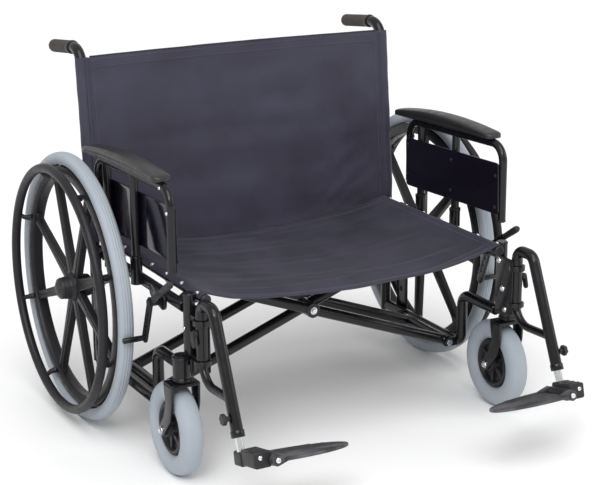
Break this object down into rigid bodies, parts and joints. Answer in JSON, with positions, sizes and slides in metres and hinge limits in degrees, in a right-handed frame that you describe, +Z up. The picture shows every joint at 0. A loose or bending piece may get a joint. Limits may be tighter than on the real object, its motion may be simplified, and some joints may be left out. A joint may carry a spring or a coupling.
{
  "type": "manual wheelchair",
  "caption": "Wide folding manual wheelchair with sling seat and back, spoked push wheels, swivel casters, lift-off armrests and swing-away footrests.",
  "frame": {"origin": "on the floor, at the centre of the bounding box in X and Y", "axes": "+Z up, the sitter faces -Y, the sitter's left is +X"},
  "size_m": [1.0262, 1.0838, 0.8361],
  "materials": {
    "frame_paint": "gloss black powder coat",
    "wheel_plastic": "black glass-filled nylon, slight sheen",
    "tyre": "pale grey-blue solid tyre, matt",
    "grip_rubber": "dark brownish vinyl, ribbed",
    "bright_steel": "bright zinc or chrome plate",
    "arm_pad": "black self-skinned urethane foam, fine pebble grain",
    "side_panel": "glossy black plastic sheet",
    "moulded_plastic": "black moulded plastic, satin",
    "upholstery": "dark blue-charcoal coated nylon, fine weave"
  },
  "bodies": {
    "right_frame": {"right_back_cane": "frame_paint", "right_push_grip": "grip_rubber", "right_lower_tube": "frame_paint", "right_side_tube": "frame_paint", "right_front_post": "frame_paint", "right_axle_plate": "frame_paint", "right_axle_bolt": "bright_steel", "right_lock_bracket": "frame_paint", "right_back_half": "upholstery"},
    "left_frame": {"left_back_cane": "frame_paint", "left_push_grip": "grip_rubber", "left_lower_tube": "frame_paint", "left_side_tube": "frame_paint", "left_front_post": "frame_paint", "left_axle_plate": "frame_paint", "left_axle_bolt": "bright_steel", "left_lock_bracket": "frame_paint", "left_back_half": "upholstery"},
    "left_rail_brace": {"left_rail_brace": "frame_paint", "left_seat_rail": "frame_paint", "left_seat_half": "upholstery", "front_pivot_bolt": "bright_steel", "rear_pivot_bolt": "bright_steel"},
    "right_rail_brace": {"right_rail_brace": "frame_paint", "right_seat_rail": "frame_paint", "right_seat_half": "upholstery"},
    "left_wheel": {"left_rear_tyre": "tyre", "left_rear_wheel": "wheel_plastic", "left_handrim": "wheel_plastic", "left_hub_cap": "wheel_plastic"},
    "left_swivel": {"left_caster_fork": "frame_paint", "left_caster_axle": "bright_steel"},
    "left_caster": {"left_caster_tyre": "tyre", "left_caster_wheel": "wheel_plastic"},
    "left_lock": {"left_lock_lever": "frame_paint"},
    "left_armrest": {"left_arm_frame": "frame_paint", "left_arm_pad": "arm_pad", "left_side_panel": "side_panel"},
    "left_hanger": {"left_hanger": "frame_paint"},
    "left_release": {"left_release_lever": "moulded_plastic"},
    "left_knob": {"left_extension_knob": "moulded_plastic"},
    "left_extension": {"left_foot_extension": "bright_steel"},
    "left_footplate": {"left_footplate": "moulded_plastic"},
    "right_wheel": {"right_rear_tyre": "tyre", "right_rear_wheel": "wheel_plastic", "right_handrim": "wheel_plastic", "right_hub_cap": "wheel_plastic"},
    "right_swivel": {"right_caster_fork": "frame_paint", "right_caster_axle": "bright_steel"},
    "right_caster": {"right_caster_tyre": "tyre", "right_caster_wheel": "wheel_plastic"},
    "right_lock": {"right_lock_lever": "frame_paint"},
    "right_armrest": {"right_arm_frame": "frame_paint", "right_arm_pad": "arm_pad", "right_side_panel": "side_panel"},
    "right_hanger": {"right_hanger": "frame_paint"},
    "right_release": {"right_release_lever": "moulded_plastic"},
    "right_knob": {"right_extension_knob": "moulded_plastic"},
    "right_extension": {"right_foot_extension": "bright_steel"},
    "right_footplate": {"right_footplate": "moulded_plastic"}
  },
  "joints": [
    {"name": "fold", "type": "hinge", "parent": "right_frame", "child": "left_rail_brace", "pos_m": [-0.36, 0.06787, 0.118], "axis": [0, -1, 0], "range_deg": [0, 38], "deforming": ["left_seat_half", "right_seat_half", "left_back_half", "right_back_half"]},
    {"name": "brace_scissor", "type": "hinge", "parent": "left_rail_brace", "child": "right_rail_brace", "pos_m": [0, 0.06787, 0.252], "axis": [0, -1, 0], "range_deg": [-76, 0]},
    {"name": "left_frame_fold", "type": "hinge", "parent": "right_rail_brace", "child": "left_frame", "pos_m": [0.36, 0.06787, 0.118], "axis": [0, -1, 0], "range_deg": [0, 38]},
    {"name": "left_wheel_spin", "type": "hinge", "parent": "left_frame", "child": "left_wheel", "pos_m": [0.46, 0.23687, 0.305], "axis": [1, 0, 0], "continuous": true},
    {"name": "left_caster_swivel", "type": "hinge", "parent": "left_frame", "child": "left_swivel", "pos_m": [0.406, -0.21513, 0.24], "axis": [0, 0, 1], "continuous": true},
    {"name": "left_caster_roll", "type": "hinge", "parent": "left_swivel", "child": "left_caster", "pos_m": [0.406, -0.17813, 0.1015], "axis": [1, 0, 0], "continuous": true},
    {"name": "left_wheel_lock", "type": "hinge", "parent": "left_frame", "child": "left_lock", "pos_m": [0.426, -0.10813, 0.36], "axis": [1, 0, 0], "range_deg": [-22, 0]},
    {"name": "left_armrest_lift", "type": "slide", "parent": "left_frame", "child": "left_armrest", "axis": [0, 0, 1], "range_m": [0, 0.1]},
    {"name": "left_hanger_swing", "type": "hinge", "parent": "left_frame", "child": "left_hanger", "pos_m": [0.386, -0.27413, 0.33], "axis": [0, 0, 1], "range_deg": [0, 90]},
    {"name": "left_release_latch", "type": "hinge", "parent": "left_hanger", "child": "left_release", "pos_m": [0.402, -0.27413, 0.336], "axis": [1, 0, 0], "range_deg": [-20, 0], "stiffness_Nm_per_rad": 0.4},
    {"name": "left_knob_turn", "type": "hinge", "parent": "left_hanger", "child": "left_knob", "pos_m": [0.404, -0.42013, 0.205], "axis": [1, 0, 0], "continuous": true},
    {"name": "left_legrest_length", "type": "slide", "parent": "left_hanger", "child": "left_extension", "axis": [0, -0.4058, -0.914], "range_m": [0, 0.05]},
    {"name": "left_footplate_flip", "type": "hinge", "parent": "left_extension", "child": "left_footplate", "pos_m": [0.351, -0.49013, 0.14], "axis": [0, 0.9744, -0.225], "range_deg": [0, 88]},
    {"name": "right_wheel_spin", "type": "hinge", "parent": "right_frame", "child": "right_wheel", "pos_m": [-0.46, 0.23687, 0.305], "axis": [1, 0, 0], "continuous": true},
    {"name": "right_caster_swivel", "type": "hinge", "parent": "right_frame", "child": "right_swivel", "pos_m": [-0.406, -0.21513, 0.24], "axis": [0, 0, 1], "continuous": true},
    {"name": "right_caster_roll", "type": "hinge", "parent": "right_swivel", "child": "right_caster", "pos_m": [-0.406, -0.17813, 0.1015], "axis": [1, 0, 0], "continuous": true},
    {"name": "right_wheel_lock", "type": "hinge", "parent": "right_frame", "child": "right_lock", "pos_m": [-0.426, -0.10813, 0.36], "axis": [1, 0, 0], "range_deg": [-22, 0]},
    {"name": "right_armrest_lift", "type": "slide", "parent": "right_frame", "child": "right_armrest", "axis": [0, 0, 1], "range_m": [0, 0.1]},
    {"name": "right_hanger_swing", "type": "hinge", "parent": "right_frame", "child": "right_hanger", "pos_m": [-0.386, -0.27413, 0.33], "axis": [0, 0, -1], "range_deg": [0, 90]},
    {"name": "right_release_latch", "type": "hinge", "parent": "right_hanger", "child": "right_release", "pos_m": [-0.402, -0.27413, 0.336], "axis": [1, 0, 0], "range_deg": [-20, 0], "stiffness_Nm_per_rad": 0.4},
    {"name": "right_knob_turn", "type": "hinge", "parent": "right_hanger", "child": "right_knob", "pos_m": [-0.404, -0.42013, 0.205], "axis": [1, 0, 0], "continuous": true},
    {"name": "right_legrest_length", "type": "slide", "parent": "right_hanger", "child": "right_extension", "axis": [0, -0.4058, -0.914], "range_m": [0, 0.05]},
    {"name": "right_footplate_flip", "type": "hinge", "parent": "right_extension", "child": "right_footplate", "pos_m": [-0.351, -0.49013, 0.14], "axis": [0, -0.9744, 0.225], "range_deg": [0, 88]}
  ],
  "couplings": [
    {"joint": "brace_scissor", "follows": "fold", "ratio": -2},
    {"joint": "left_frame_fold", "follows": "fold", "ratio": 1}
  ]
}
